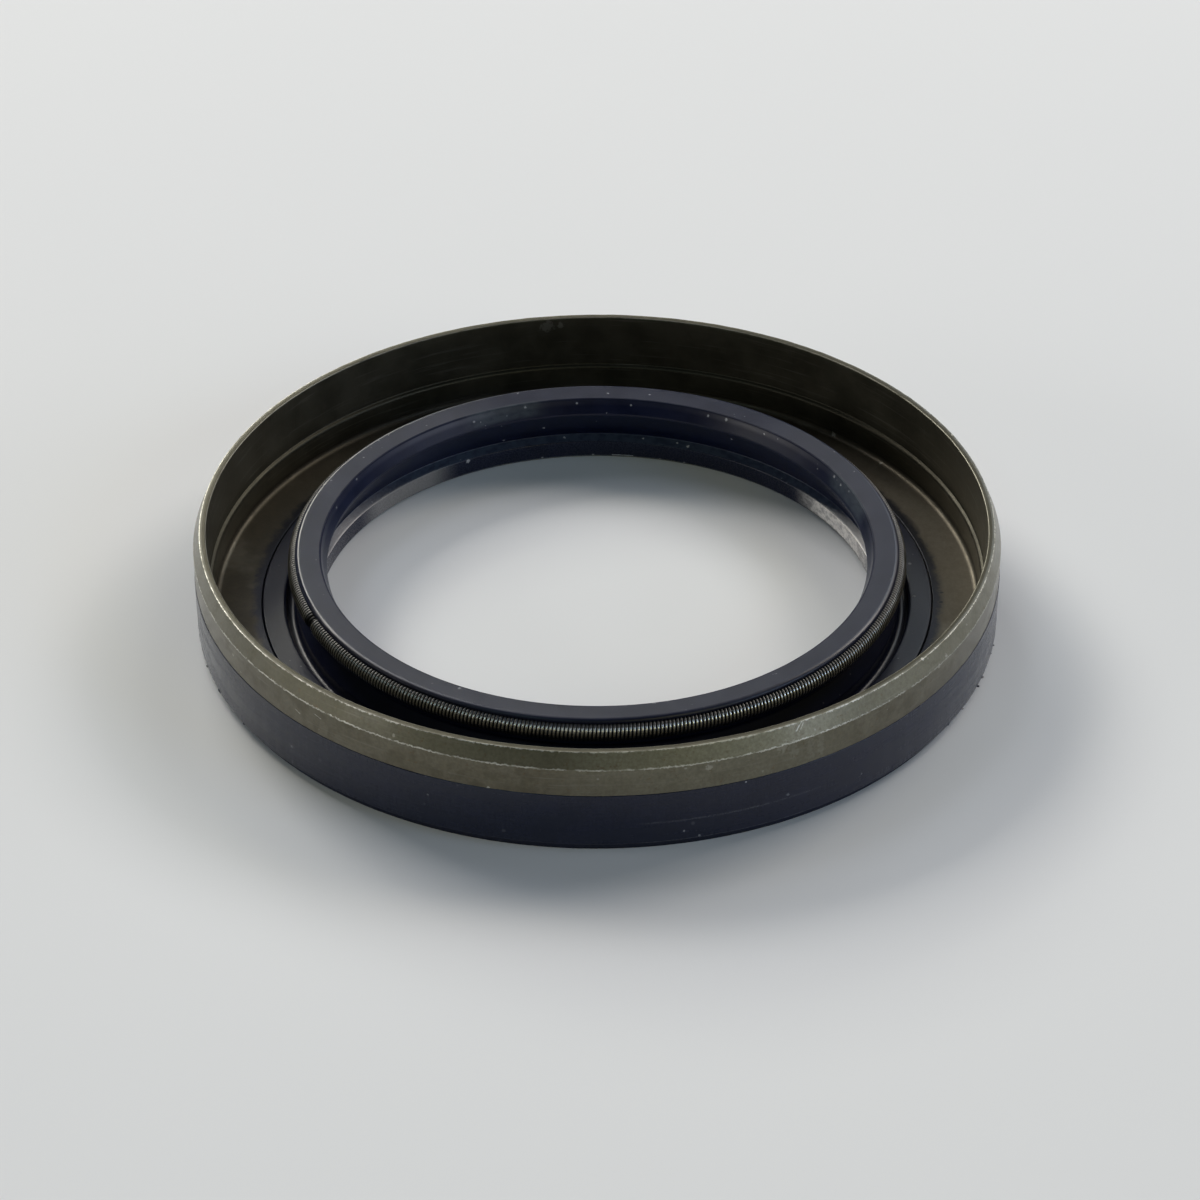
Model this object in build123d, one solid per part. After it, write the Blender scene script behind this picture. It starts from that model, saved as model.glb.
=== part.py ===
from build123d import *
from math import acos, ceil, degrees, hypot, pi, radians, sin, sqrt, tan
import os

# Rotary shaft seal, lying on its air side: +Z points to the oil side, where the garter spring shows.
# The origin is the centre of the flat air side. Every size is in millimetres.

# Sizes that the seal is ordered by
shaft_d = 50.0
section_h = 11.0        # from the shaft to the housing bore, so the housing bore is 72
width = 10.0

# Steel case: one drawn cup with a stepped wall and an inward flange
sheet_t = 1.2
rim_chamfer_w = 0.6
rim_chamfer_h = 1.44
rim_edge_r = 0.12
step_w = 0.35           # how far the lower wall stands inside the upper one
step_h = 4.75           # height of the ledge inside the wall
step_fall = 0.12        # the ledge slopes down by this much towards the axis
step_blend_r = 0.15
outer_step_h = 0.7      # height of the cone that takes the same step outside
bend_r = 0.5            # inside radius from wall to flange
flange_tuck = 1.2       # how far the flange reaches under the rubber ring
flange_edge_fall = 0.45  # the flange's edge is coined down by this much inside the rubber

# Rubber body, moulded round the lower half of the case in one shot
cover_h = 5.95          # top of the rubber on the outside of the case
cover_proud = 0.05      # rubber stands this much outside the steel
foot_t = 0.8            # rubber under the flange
foot_chamfer_w = 0.65
foot_chamfer_h = 0.95
land_clearance = 0.2    # shaft to the bore of the foot
land_top_h = 1.8
land_chamfer = 0.3
ledge_w = 0.75          # upward ledge between the land and the lip's cone
ledge_rise = 0.5
moat_w = 0.9            # groove that frees the root of the membrane
moat_floor_h = 1.05
moat_edge_r = 0.25
ring_w = 2.15           # rubber ring on the flange, from the groove to the shut-off line
shutoff_w = 0.2         # line where the mould closed on the flange
shutoff_depth = 0.15

# Sealing lip
lip_interference = 1.5  # how much smaller than the shaft the lip is, across the diameter
lip_h = 5.43
lip_band = 0.2          # contact band at the sealing edge
oil_cone_w = 0.54       # from the sealing edge out to the head's face
head_face_fall = 0.17   # the head's face dips by this much towards the bore
head_inner_edge_r = 0.15
head_outer_edge_r = 0.25
head_cap_t = 0.39       # rubber above the spring's groove
membrane_t = 1.05
membrane_root_r = 0.4
nose_h = 0.35           # retaining nose below the spring's groove
nose_out = 0.05
nose_slope_h = 0.7
waist_r = 0.35

# Garter spring
coil_d = 1.7
wire_d = 0.33
spring_behind_lip = 2.65
spring_above_lip = 0.42
spring_in = 0.18        # the spring's centre circle lies this far inside the head's outer edge
seat_clearance = 0.03   # groove to coil
nib_bite = 0.08         # the nib's turns stand this far into the coil's wall
nib_gap = 0.45          # bare stretch of the nib at the joint
nib_taper = 1.0
nib_hidden = 0.8        # length of the nib inside each end of the coil
joint_angle = 205.0     # where the two ends meet, in degrees round +Z

# Roundings and the coil are cut into flats, because a revolved arc has very many facets
flat_error = 0.075      # the flats stay this close to the arc

# Radii and heights of the case
case_r = shaft_d / 2 + section_h
upper_wall_r = case_r - sheet_t
lower_wall_r = upper_wall_r - step_w
lower_skin_r = case_r - step_w
flange_top = foot_t + sheet_t

# Radii and heights of the lip and its spring
lip_r = (shaft_d - lip_interference) / 2
lip_foot_h = lip_h - lip_band / 2
land_r = shaft_d / 2 + land_clearance
cone_foot_r = land_r + ledge_w
cone_foot_h = land_top_h + ledge_rise
spring_r = lip_r + spring_behind_lip
spring_h = lip_h + spring_above_lip
seat_r = coil_d / 2 + seat_clearance
head_r = spring_r + spring_in
head_h = spring_h + seat_r + head_cap_t
nose_foot_h = spring_h - sqrt(seat_r**2 - spring_in**2) - nose_h
waist_h = nose_foot_h - nose_slope_h
nib_d = coil_d - 2 * wire_d + 2 * nib_bite


def membrane_back(height):
    """Radius of the membrane's oil side, which runs parallel to the lip's air-side cone."""
    run = cone_foot_r - lip_r
    rise = lip_foot_h - cone_foot_h
    front = cone_foot_r - (height - cone_foot_h) * run / rise
    return front + membrane_t * hypot(run, rise) / rise


# Radii that follow outwards from the membrane's root
moat_in_r = membrane_back(cone_foot_h)
moat_r = moat_in_r + moat_w
moat_bottom_r = moat_w * 0.45
shutoff_r = moat_r + ring_w
flange_bore_r = shutoff_r - flange_tuck


def flats_along(radius, turn):
    """Fewest flats along an arc, turned through so many radians, that stay within flat_error of it."""
    return ceil(turn / (2 * acos(1 - min(flat_error / radius, 1))))


def rounding_points(before, corner, after):
    """Points that stand for a corner: the corner itself, or flats along the arc that rounds it off."""
    here = Vector(*corner[:2])
    rounding = corner[2]
    to_before = (Vector(*before[:2]) - here).normalized()
    to_after = (Vector(*after[:2]) - here).normalized()
    half = radians(to_before.get_angle(to_after)) / 2
    if rounding / sin(half) - rounding < flat_error:
        return [here]
    centre = here + (to_before + to_after).normalized() * (rounding / sin(half))
    spoke = here + to_before * (rounding / tan(half)) - centre
    turn = pi - 2 * half
    flats = flats_along(rounding, turn)
    way = -1 if to_before.cross(to_after).Z > 0 else 1
    return [centre + spoke.rotate(Axis.Z, way * degrees(turn) * step / flats) for step in range(flats + 1)]


def section(corners):
    """Face in the XZ plane from corners given as (radius, height, rounding)."""
    outline = []
    for place, corner in enumerate(corners):
        after = corners[(place + 1) % len(corners)]
        outline += rounding_points(corners[place - 1], corner, after)
    return Plane.XZ * make_face(Polyline(*outline, close=True))


def bonded_line():
    """Corners of the steel that the rubber is bonded to, from the outside wall to the shut-off line."""
    return [
        (case_r, cover_h, 0),
        (lower_skin_r, cover_h - outer_step_h, 0),
        (lower_skin_r, foot_t, bend_r + sheet_t),
        (flange_bore_r, foot_t, 0),
        (flange_bore_r, flange_top - flange_edge_fall, 0),
        (shutoff_r, flange_top - shutoff_depth, 0),
    ]


def steel_case():
    """The drawn cup: bonded outside, coined flange edge, flange, stepped wall and chamfered rim."""
    inside = [
        (shutoff_r + shutoff_w / 2, flange_top, 0),
        (lower_wall_r, flange_top, bend_r),
        (lower_wall_r, step_h - step_fall, 0),
        (upper_wall_r, step_h, step_blend_r),
        (upper_wall_r, width, rim_edge_r),
        (case_r - rim_chamfer_w, width, 0),
        (case_r, width - rim_chamfer_h, 0),
    ]
    return revolve(section(bonded_line() + inside), Axis.Z)


def rubber_body():
    """Outside cover, foot, shaft land, lip cone, head, membrane, moat and the ring on the flange."""
    outside_and_foot = [
        (case_r + cover_proud, cover_h - cover_proud, 0),
        (case_r + cover_proud, foot_chamfer_h, 0),
        (case_r + cover_proud - foot_chamfer_w, 0, 0),
        (land_r + land_chamfer, 0, 0),
        (land_r, land_chamfer, 0),
        (land_r, land_top_h, 0),
    ]
    lip = [
        (cone_foot_r, cone_foot_h, 0),
        (lip_r, lip_foot_h, 0),
        (lip_r, lip_foot_h + lip_band, 0),
        (lip_r + oil_cone_w, head_h - head_face_fall, head_inner_edge_r),
        (head_r, head_h, head_outer_edge_r),
        (head_r, spring_h, 0),
        (head_r + nose_out, spring_h, 0),
        (head_r + nose_out, nose_foot_h, 0),
    ]
    membrane_and_ring = [
        (membrane_back(waist_h), waist_h, waist_r),
        (moat_in_r, cone_foot_h, membrane_root_r),
        (moat_in_r, moat_floor_h, moat_bottom_r),
        (moat_r, moat_floor_h, moat_bottom_r),
        (moat_r, flange_top, moat_edge_r),
        (shutoff_r - shutoff_w / 2, flange_top, 0),
    ]
    bond = list(reversed(bonded_line()))
    body = revolve(section(outside_and_foot + lip + membrane_and_ring + bond), Axis.Z)
    return body - revolve(across_spring(0, seat_r * 2), Axis.Z)


def spring_angle(length):
    """Angle in degrees that a length takes up on the spring's centre circle."""
    return length / (2 * pi * spring_r) * 360


def across_spring(angle, diameter, rounded_as=None):
    """Many-sided disc square to the spring's centre circle, at an angle round +Z."""
    sides = 2 * flats_along((rounded_as or diameter) / 2, pi)
    disc = Plane.XZ * (Pos(spring_r, spring_h) * RegularPolygon(diameter / 2, sides))
    return Rot(0, 0, angle) * disc


def garter_spring():
    """Close-wound coil as a tube at its true envelope, with the tapered nib that joins its two ends."""
    gap = spring_angle(nib_gap)
    taper = spring_angle(nib_taper)
    hidden = spring_angle(nib_hidden)
    coil_start = joint_angle + gap / 2
    coil_end = joint_angle - gap / 2 - taper
    hollow = across_spring(coil_start, coil_d - 2 * wire_d)
    coil = revolve(across_spring(coil_start, coil_d) - hollow, Axis.Z, 360 - gap - taper)
    nib_end = across_spring(coil_end + taper, nib_d, coil_d)
    shoulder = loft([across_spring(coil_end, coil_d), nib_end])
    nib = revolve(across_spring(coil_end - hidden, nib_d, coil_d), Axis.Z, hidden + taper + gap + hidden)
    return coil + shoulder + nib


nodes = {
    "steel_case": steel_case(),
    "rubber_lip_body": rubber_body(),
    "garter_spring": garter_spring(),
}
os.makedirs("parts", exist_ok=True)
for name, solid in nodes.items():
    export_step(solid, f"parts/{name}.step")
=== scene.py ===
import math
from functools import reduce

import bpy
import numpy as np
from mathutils import Matrix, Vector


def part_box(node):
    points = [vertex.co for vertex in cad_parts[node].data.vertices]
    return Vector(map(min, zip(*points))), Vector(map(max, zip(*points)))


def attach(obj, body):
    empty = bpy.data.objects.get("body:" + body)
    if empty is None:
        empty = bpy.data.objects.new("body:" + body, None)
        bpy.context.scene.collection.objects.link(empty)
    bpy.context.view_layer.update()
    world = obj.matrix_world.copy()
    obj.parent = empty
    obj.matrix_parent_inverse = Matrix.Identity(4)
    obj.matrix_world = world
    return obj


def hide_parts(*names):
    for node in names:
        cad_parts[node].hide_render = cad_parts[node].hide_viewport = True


# A radial shaft seal lying on its air side. Every size here is in millimetres unless a docstring says
# otherwise, and MM turns it into Blender's metres. Angles go round +Z from +X.

MM = 0.001

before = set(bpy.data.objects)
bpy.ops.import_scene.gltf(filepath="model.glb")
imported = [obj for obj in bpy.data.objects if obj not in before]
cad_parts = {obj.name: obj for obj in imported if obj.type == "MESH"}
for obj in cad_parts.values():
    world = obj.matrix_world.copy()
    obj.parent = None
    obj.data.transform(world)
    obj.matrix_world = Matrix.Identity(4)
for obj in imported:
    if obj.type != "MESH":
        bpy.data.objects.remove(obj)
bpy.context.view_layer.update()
case_low, case_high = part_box("steel_case")
rubber_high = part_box("rubber_lip_body")[1]
spring_low, spring_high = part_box("garter_spring")

# Sizes taken from the frame
case_r = case_high.x / MM
width = case_high.z / MM
foot_t = case_low.z / MM
cover_r = rubber_high.x / MM
head_h = rubber_high.z / MM
coil_d = (spring_high.z - spring_low.z) / MM
spring_r = spring_high.x / MM - coil_d / 2
spring_h = (spring_high.z + spring_low.z) / 2 / MM

# Steel case
sheet_t = 1.2
rim_chamfer_w = 0.6
rim_chamfer_h = 1.44
rim_inner_edge_r = 0.12
rim_outer_edge_r = 0.06
chamfer_edge_r = 0.08
step_w = 0.35
step_h = 4.75
step_fall = 0.12
step_blend_r = 0.15
step_edge_r = 0.3
outer_step_h = 0.7
bend_r = 0.5
upper_wall_r = case_r - sheet_t
lower_wall_r = upper_wall_r - step_w
lower_skin_r = case_r - step_w
flange_top = foot_t + sheet_t

# Rubber cover, foot and land
cover_h = 5.95
cover_proud = 0.05
cover_edge_r = 0.03
foot_chamfer_w = 0.65
foot_chamfer_h = 0.95
foot_edge_r = 0.12
bore_edge_r = 0.03
land_r = 25.2
land_top_h = 1.8
land_chamfer = 0.3
land_edge_r = 0.08
ledge_w = 0.75
ledge_rise = 0.5
ledge_root_r = 0.12

# Sealing lip and its head
lip_r = 24.25
lip_h = 5.43
lip_band = 0.2
lip_edge_r = 0.05
oil_cone_w = 0.54
head_face_fall = 0.17
head_inner_edge_r = 0.12
head_outer_edge_r = 0.36
spring_in = 0.18
head_r = spring_r + spring_in
nose_out = 0.05
nose_h = 0.35
nose_slope_h = 0.7
nose_edge_r = 0.06
waist_r = 0.35
membrane_t = 1.05
membrane_root_r = 0.4
seat_clearance = 0.03
seat_r = coil_d / 2 + seat_clearance

# Groove round the lip's root, the ring on the flange and the line where the mould closed
moat_w = 0.9
moat_floor_h = 1.05
moat_bottom_r = moat_w * 0.45
moat_edge_r = 0.25
ring_w = 2.15
shutoff_w = 0.2
shutoff_depth = 0.15
shutoff_edge_r = 0.04
flange_tuck = 1.2
flange_edge_fall = 0.45

# Garter spring
wire_d = 0.33
nib_gap = 0.45
nib_taper = 1.0
nib_hidden = 0.8
nib_d = 1.2
joint_angle = math.radians(205.0)

# How finely the surfaces are cut
around_count = 576
arc_steps = 4
groove_steps = 12
least_rounding = 0.001
support = 0.04          # a flat keeps a ring this close to each of its ends, so that it shades flat
closing = 0.01          # a section's last corner lies this far from its first
drawn_in = 0.03         # an uneven outer edge is drawn in by this much, so that it stays inside the solid
wire_steps_per_turn = 22
wire_sides = 8

# The photograph's camera
eye = (0.0, -276.324, 190.931)
camera_down = math.radians(34.5497)
camera_aside = math.radians(0.0526)
camera_roll = math.radians(0.1110)
camera_lens = 111.0
camera_sensor = 36.0


def softened(corners, steps=arc_steps):
    """Points (radius, height) along an open line of corners (radius, height, rounding).

    With h half the angle between a corner's two sides and q its rounding, the arc touches both sides at
    q / tan(h) from the corner, its centre lies q / sin(h) along the line that halves the corner, and it
    turns through pi - 2 h. Each flat gets a point a little way in from both of its ends.
    """
    places = np.array([corner[:2] for corner in corners], float)
    stretches = [places[:1]]
    for before, here, after, corner in zip(places[:-2], places[1:-1], places[2:], corners[1:-1]):
        rounding = max(corner[2], least_rounding)
        back = (before - here) / np.linalg.norm(before - here)
        on = (after - here) / np.linalg.norm(after - here)
        half = math.acos(np.clip(back @ on, -1, 1)) / 2
        centre = here + (back + on) / np.linalg.norm(back + on) * rounding / math.sin(half)
        spoke = here + back * rounding / math.tan(half) - centre
        side = -np.sign(back[0] * on[1] - back[1] * on[0])
        turn = side * (math.pi - 2 * half) * np.linspace(0, 1, steps + 1)
        arc = centre + np.stack([
            spoke[0] * np.cos(turn) - spoke[1] * np.sin(turn),
            spoke[0] * np.sin(turn) + spoke[1] * np.cos(turn),
        ], axis=1)
        stretches.append(arc)
    stretches.append(places[-1:])
    line = [stretches[0]]
    for left, right in zip(stretches[:-1], stretches[1:]):
        run = right[0] - left[-1]
        length = np.linalg.norm(run)
        if length > 4 * support:
            line.append(left[-1:] + run * support / length)
            line.append(right[:1] - run * support / length)
        line.append(right)
    return np.concatenate(line)


def arc_points(centre, radius, start, end, steps):
    """Points of an arc from angle start to angle end, in radians, about a centre (radius, height)."""
    angle = np.linspace(start, end, steps + 1)
    return np.stack([centre[0] + radius * np.cos(angle), centre[1] + radius * np.sin(angle)], axis=1)


def ripple(angle, amplitude, lowest, highest, seed):
    """Smooth closed waviness round the seal: waves of every whole count between two limits, added up.

    Each wave's share falls with its count and its phase is drawn from the seed.
    """
    counts = np.arange(lowest, highest + 1)
    phases = np.random.default_rng(seed).uniform(0, 2 * math.pi, counts.size)
    waves = np.cos(counts * np.asarray(angle)[..., None] + phases) / np.sqrt(counts)
    return amplitude * waves.sum(-1) / np.sqrt((1 / counts).sum() / 2) / 2


def grid_quads(rows, columns, close_rows=True, close_columns=True):
    """Corner numbers of the quads between neighbouring points of a grid, row by row."""
    row = np.arange(rows if close_rows else rows - 1)[:, None]
    column = np.arange(columns if close_columns else columns - 1)[None, :]
    next_row = (row + 1) % rows
    next_column = (column + 1) % columns
    corners = [row * columns + column, next_row * columns + column,
               next_row * columns + next_column, row * columns + next_column]
    return np.stack([np.broadcast_to(c, (row.size, column.size)) for c in corners], axis=-1).reshape(-1, 4)


def enclosed(points, faces):
    """Volume that the faces enclose: a sixth of the triple product of each face's triangles, added up."""
    start = points[faces[:, 0]]
    volume = 0.0
    for left, right in zip(faces.T[1:-1], faces.T[2:]):
        volume += np.einsum("ij,ij->i", start, np.cross(points[left], points[right])).sum()
    return volume / 6


def tube_faces(rows, columns):
    """Faces of a tube given as rows of points: the quads between rows, and a cap at each end."""
    numbers = np.arange(columns)
    return [grid_quads(rows, columns, close_rows=False), numbers[None, :],
            ((rows - 1) * columns + numbers)[None, ::-1]]


def placed(name, data):
    """New object in the scene, at the origin."""
    made = bpy.data.objects.new(name, data)
    bpy.context.scene.collection.objects.link(made)
    return made


def piece(name, points, face_groups, finish, replaced=None):
    """Makes a mesh object from points in millimetres and arrays of faces, with its faces outwards."""
    points = np.asarray(points, float).reshape(-1, 3)
    total = sum(enclosed(points, faces) for faces in face_groups)
    if total < 0:
        face_groups = [faces[:, ::-1] for faces in face_groups]
    mesh = bpy.data.meshes.new(name)
    mesh.from_pydata((points * MM).tolist(), [], [face for faces in face_groups for face in faces.tolist()])
    mesh.polygons.foreach_set("use_smooth", np.ones(len(mesh.polygons), bool))
    mesh.update()
    mesh.materials.append(finish)
    made = placed(name, mesh)
    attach(made, "root")
    if replaced:
        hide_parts(replaced)


def turned(section, radial=None, upward=None):
    """Grid of points of a section turned round +Z, with room for a change of radius and height.

    A point (r, z) of the section at angle a lies at ((r + dr) cos a, (r + dr) sin a, z + dz), where dr and
    dz come from the functions radial and upward of (angle, r, z).
    """
    angle = np.linspace(0, 2 * math.pi, around_count, endpoint=False)[:, None]
    r, z = section[None, :, 0], section[None, :, 1]
    grown = r + (radial(angle, r, z) if radial else 0)
    raised = z + (upward(angle, r, z) if upward else 0)
    raised = np.broadcast_to(raised, (around_count, section.shape[0]))
    return np.stack([grown * np.cos(angle), grown * np.sin(angle), raised], axis=-1)


# Shader nodes

def node(tree, kind, inputs, **settings):
    """Adds a shader node, each input a plain value or another node's output, and returns its outputs."""
    made = tree.nodes.new("ShaderNode" + kind)
    for name, value in settings.items():
        setattr(made, name, value)
    for key, value in inputs.items():
        if isinstance(value, bpy.types.NodeSocket):
            tree.links.new(value, made.inputs[key])
        else:
            made.inputs[key].default_value = value
    return made.outputs


def calc(tree, operation, *values, clamp=False):
    """Result of one step of arithmetic in a node tree."""
    return node(tree, "Math", dict(enumerate(values)), operation=operation, use_clamp=clamp)[0]


def times(tree, *values):
    """Product of all the values."""
    return reduce(lambda one, other: calc(tree, "MULTIPLY", one, other), values)


def most(tree, *values):
    """Greatest of all the values."""
    return reduce(lambda one, other: calc(tree, "MAXIMUM", one, other), values)


def shake(tree, value, noise, amount):
    """A value plus a noise around 0.5, centred on 0 and scaled to an amount."""
    return calc(tree, "MULTIPLY_ADD", calc(tree, "SUBTRACT", noise, 0.5), amount, value)


def ramp(tree, value, low, high, start=0.0, end=1.0):
    """Smooth rise from start to end while a value goes from low to high."""
    inputs = {"Value": value, "From Min": low, "From Max": high, "To Min": start, "To Max": end}
    return node(tree, "MapRange", inputs, interpolation_type="SMOOTHSTEP")["Result"]


def within(tree, value, low, high, soft):
    """Mask that is full while a value lies between two limits and fades out over a soft margin."""
    return times(tree, ramp(tree, value, low - soft, low), ramp(tree, value, high + soft, high))


def blend(tree, mask, first, second):
    """Colour that goes from the first to the second with a mask."""
    return node(tree, "Mix", {0: mask, 6: first, 7: second}, data_type="RGBA")[2]


def tint(tree, base, colour, *masks):
    """The base colour, turned to a plain colour by the product of the masks."""
    return blend(tree, times(tree, *masks), base, (*colour, 1))


def lerp(tree, mask, first, second):
    """Number that goes from the first to the second with a mask."""
    return node(tree, "Mix", {0: mask, 2: first, 3: second}, data_type="FLOAT")[0]


def group(name, inputs, outputs):
    """Empty node group with named inputs and outputs, and its inner start and end nodes."""
    tree = bpy.data.node_groups.new(name, "ShaderNodeTree")
    for label, (kind, default) in inputs.items():
        socket = tree.interface.new_socket(label, in_out="INPUT", socket_type="NodeSocket" + kind)
        if default is not None:
            socket.default_value = default
    for label, kind in outputs.items():
        tree.interface.new_socket(label, in_out="OUTPUT", socket_type="NodeSocket" + kind)
    return tree, tree.nodes.new("NodeGroupInput").outputs, tree.nodes.new("NodeGroupOutput").inputs


def use(tree, shared, inputs):
    """Places a node group in a tree and returns its outputs."""
    return node(tree, "Group", inputs, node_tree=shared)


def build_ring_place():
    """Where a point lies on a ring: radius and height in millimetres, and angle in degrees."""
    tree, given, result = group(
        "ring_place", {"Position": ("Vector", None)},
        {"Radius": "Float", "Height": "Float", "Angle": "Float", "Millimetres": "Vector"})
    scaled = node(tree, "VectorMath", {0: given["Position"], "Scale": 1 / MM}, operation="SCALE")[0]
    x, y, height = node(tree, "SeparateXYZ", {0: scaled})
    square = calc(tree, "ADD", times(tree, x, x), times(tree, y, y))
    tree.links.new(calc(tree, "SQRT", square), result["Radius"])
    tree.links.new(height, result["Height"])
    tree.links.new(times(tree, calc(tree, "ARCTAN2", y, x), math.degrees(1)), result["Angle"])
    tree.links.new(scaled, result["Millimetres"])
    return tree


def build_cloud():
    """Soft irregular patches: a mask that rises where layered noise passes from Low to High."""
    tree, given, result = group(
        "cloud",
        {"Millimetres": ("Vector", None), "Size": ("Float", 1.0), "Detail": ("Float", 4.0),
         "Stretch": ("Vector", (1.0, 1.0, 1.0)), "Low": ("Float", 0.4), "High": ("Float", 0.6)},
        {"Mask": "Float", "Noise": "Float"})
    stretched = node(tree, "VectorMath", {0: given["Millimetres"], 1: given["Stretch"]},
                     operation="MULTIPLY")[0]
    density = calc(tree, "DIVIDE", 1.0, given["Size"])
    noise = node(tree, "TexNoise", {"Vector": stretched, "Scale": density, "Detail": given["Detail"],
                                    "Roughness": 0.6})[0]
    tree.links.new(noise, result["Noise"])
    tree.links.new(ramp(tree, noise, given["Low"], given["High"]), result["Mask"])
    return tree


def build_worn_line(cloud):
    """Ragged bright line along an edge: strong where the distance to the edge, shaken by fine noise, is
    under the half width, and broken up by patches of coarser noise."""
    tree, given, result = group(
        "worn_line",
        {"Millimetres": ("Vector", None), "Distance": ("Float", 0.0), "Half Width": ("Float", 0.05),
         "Shake": ("Float", 0.08), "Gaps": ("Float", 0.5), "Gap Size": ("Float", 1.2)},
        {"Mask": "Float"})
    fine = use(tree, cloud, {"Millimetres": given["Millimetres"], "Size": 0.25, "Detail": 3.0})["Noise"]
    shaken = shake(tree, given["Distance"], fine, given["Shake"])
    line = ramp(tree, calc(tree, "ABSOLUTE", shaken), given["Half Width"], 0.0)
    patches = use(tree, cloud, {"Millimetres": given["Millimetres"], "Size": given["Gap Size"],
                                "Low": calc(tree, "SUBTRACT", given["Gaps"], 0.12),
                                "High": calc(tree, "ADD", given["Gaps"], 0.12)})["Mask"]
    tree.links.new(times(tree, line, patches), result["Mask"])
    return tree


def build_dust():
    """Specks: each cell of a cell pattern may hold one, of its own size, and most cells hold none."""
    tree, given, result = group(
        "dust",
        {"Millimetres": ("Vector", None), "Spacing": ("Float", 1.0), "Share": ("Float", 0.2),
         "Largest": ("Float", 0.2)},
        {"Mask": "Float"})
    bent = node(tree, "TexNoise", {"Vector": given["Millimetres"], "Scale": 4.0, "Detail": 2.0})[1]
    shift = node(tree, "VectorMath", {0: bent, 1: (0.12, 0.12, 0.12), 2: given["Millimetres"]},
                 operation="MULTIPLY_ADD")[0]
    density = calc(tree, "DIVIDE", 1.0, given["Spacing"])
    cells = node(tree, "TexVoronoi", {"Vector": shift, "Scale": density})
    chance = node(tree, "SeparateColor", {0: cells["Color"]})
    reach = calc(tree, "DIVIDE", times(tree, chance[1], given["Largest"]), given["Spacing"])
    speck = ramp(tree, cells["Distance"], reach, times(tree, reach, 0.4))
    held = calc(tree, "LESS_THAN", chance[0], given["Share"])
    tree.links.new(times(tree, speck, held), result["Mask"])
    return tree


def build_spot():
    """One irregular mark at a place: full at its middle, gone at its size, with a ragged outline."""
    tree, given, result = group(
        "spot",
        {"Millimetres": ("Vector", None), "Ragged": ("Float", 0.5), "Place": ("Vector", (0.0, 0.0, 0.0)),
         "Size": ("Float", 0.3)},
        {"Mask": "Float"})
    apart = node(tree, "VectorMath", {0: given["Millimetres"], 1: given["Place"]},
                 operation="DISTANCE")["Value"]
    shaken = shake(tree, apart, given["Ragged"], times(tree, given["Size"], 2.4))
    tree.links.new(ramp(tree, shaken, given["Size"], times(tree, given["Size"], 0.5)), result["Mask"])
    return tree


def build_stroke():
    """One scratch: strong near the straight line between two places, with a ragged outline.

    The nearest point of the line lies at the share (p - a) . (b - a) / (b - a) . (b - a) of its length,
    kept between 0 and 1.
    """
    tree, given, result = group(
        "stroke",
        {"Millimetres": ("Vector", None), "Ragged": ("Float", 0.5), "From": ("Vector", (0.0, 0.0, 0.0)),
         "To": ("Vector", (0.0, 0.0, 1.0)), "Half Width": ("Float", 0.05)},
        {"Mask": "Float"})

    def vector(operation, first, second, output=0):
        return node(tree, "VectorMath", {0: first, 1: second}, operation=operation)[output]

    along = vector("SUBTRACT", given["To"], given["From"])
    away = vector("SUBTRACT", given["Millimetres"], given["From"])
    share = calc(tree, "DIVIDE", vector("DOT_PRODUCT", away, along, "Value"),
                 vector("DOT_PRODUCT", along, along, "Value"), clamp=True)
    reached = node(tree, "VectorMath", {0: along, "Scale": share}, operation="SCALE")[0]
    apart = vector("DISTANCE", away, reached, "Value")
    half_width = given["Half Width"]
    shaken = shake(tree, apart, given["Ragged"], times(tree, half_width, 3.0))
    tree.links.new(ramp(tree, shaken, half_width, times(tree, half_width, 0.3)), result["Mask"])
    return tree


ring_place = build_ring_place()
cloud = build_cloud()
worn_line = build_worn_line(cloud)
dust = build_dust()
spot = build_spot()
stroke = build_stroke()


def clouds(tree, where, size, low, high, **more):
    """Places the cloud group with patches of a size in millimetres; its outputs are Mask and Noise."""
    return use(tree, cloud, {"Millimetres": where, "Size": size, "Low": low, "High": high, **more})


def specks_of(tree, where, spacing, share, largest):
    """Places the dust group, with its sizes in millimetres, and returns its mask."""
    return use(tree, dust, {"Millimetres": where, "Spacing": spacing, "Share": share,
                            "Largest": largest})["Mask"]


def on_ring(angle, radius, height):
    """Point at an angle in degrees round the axis, a radius and a height."""
    turn = math.radians(angle)
    return (radius * math.cos(turn), radius * math.sin(turn), height)


def plain_finish(name, **shader):
    """Material with a Principled shader set to plain values, and the place of its points in metres."""
    made = bpy.data.materials.new(name)
    made.use_nodes = True
    tree = made.node_tree
    surface = tree.nodes["Principled BSDF"]
    for label, value in shader.items():
        surface.inputs[label.replace("_", " ")].default_value = value
    return made, tree, surface, tree.nodes.new("ShaderNodeTexCoord").outputs["Object"]


def ring_finish(name, **shader):
    """Material with a Principled shader set to plain values, and where its points lie on the ring."""
    made, tree, surface, position = plain_finish(name, **shader)
    return made, tree, surface, use(tree, ring_place, {"Position": position})


def bump(tree, surface, height, depth):
    """Feeds a height between 0 and 1 to the surface's normal, at a depth in millimetres."""
    normal = node(tree, "Bump", {"Height": height, "Distance": depth * MM, "Strength": 1.0})[0]
    tree.links.new(normal, surface.inputs["Normal"])


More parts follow.
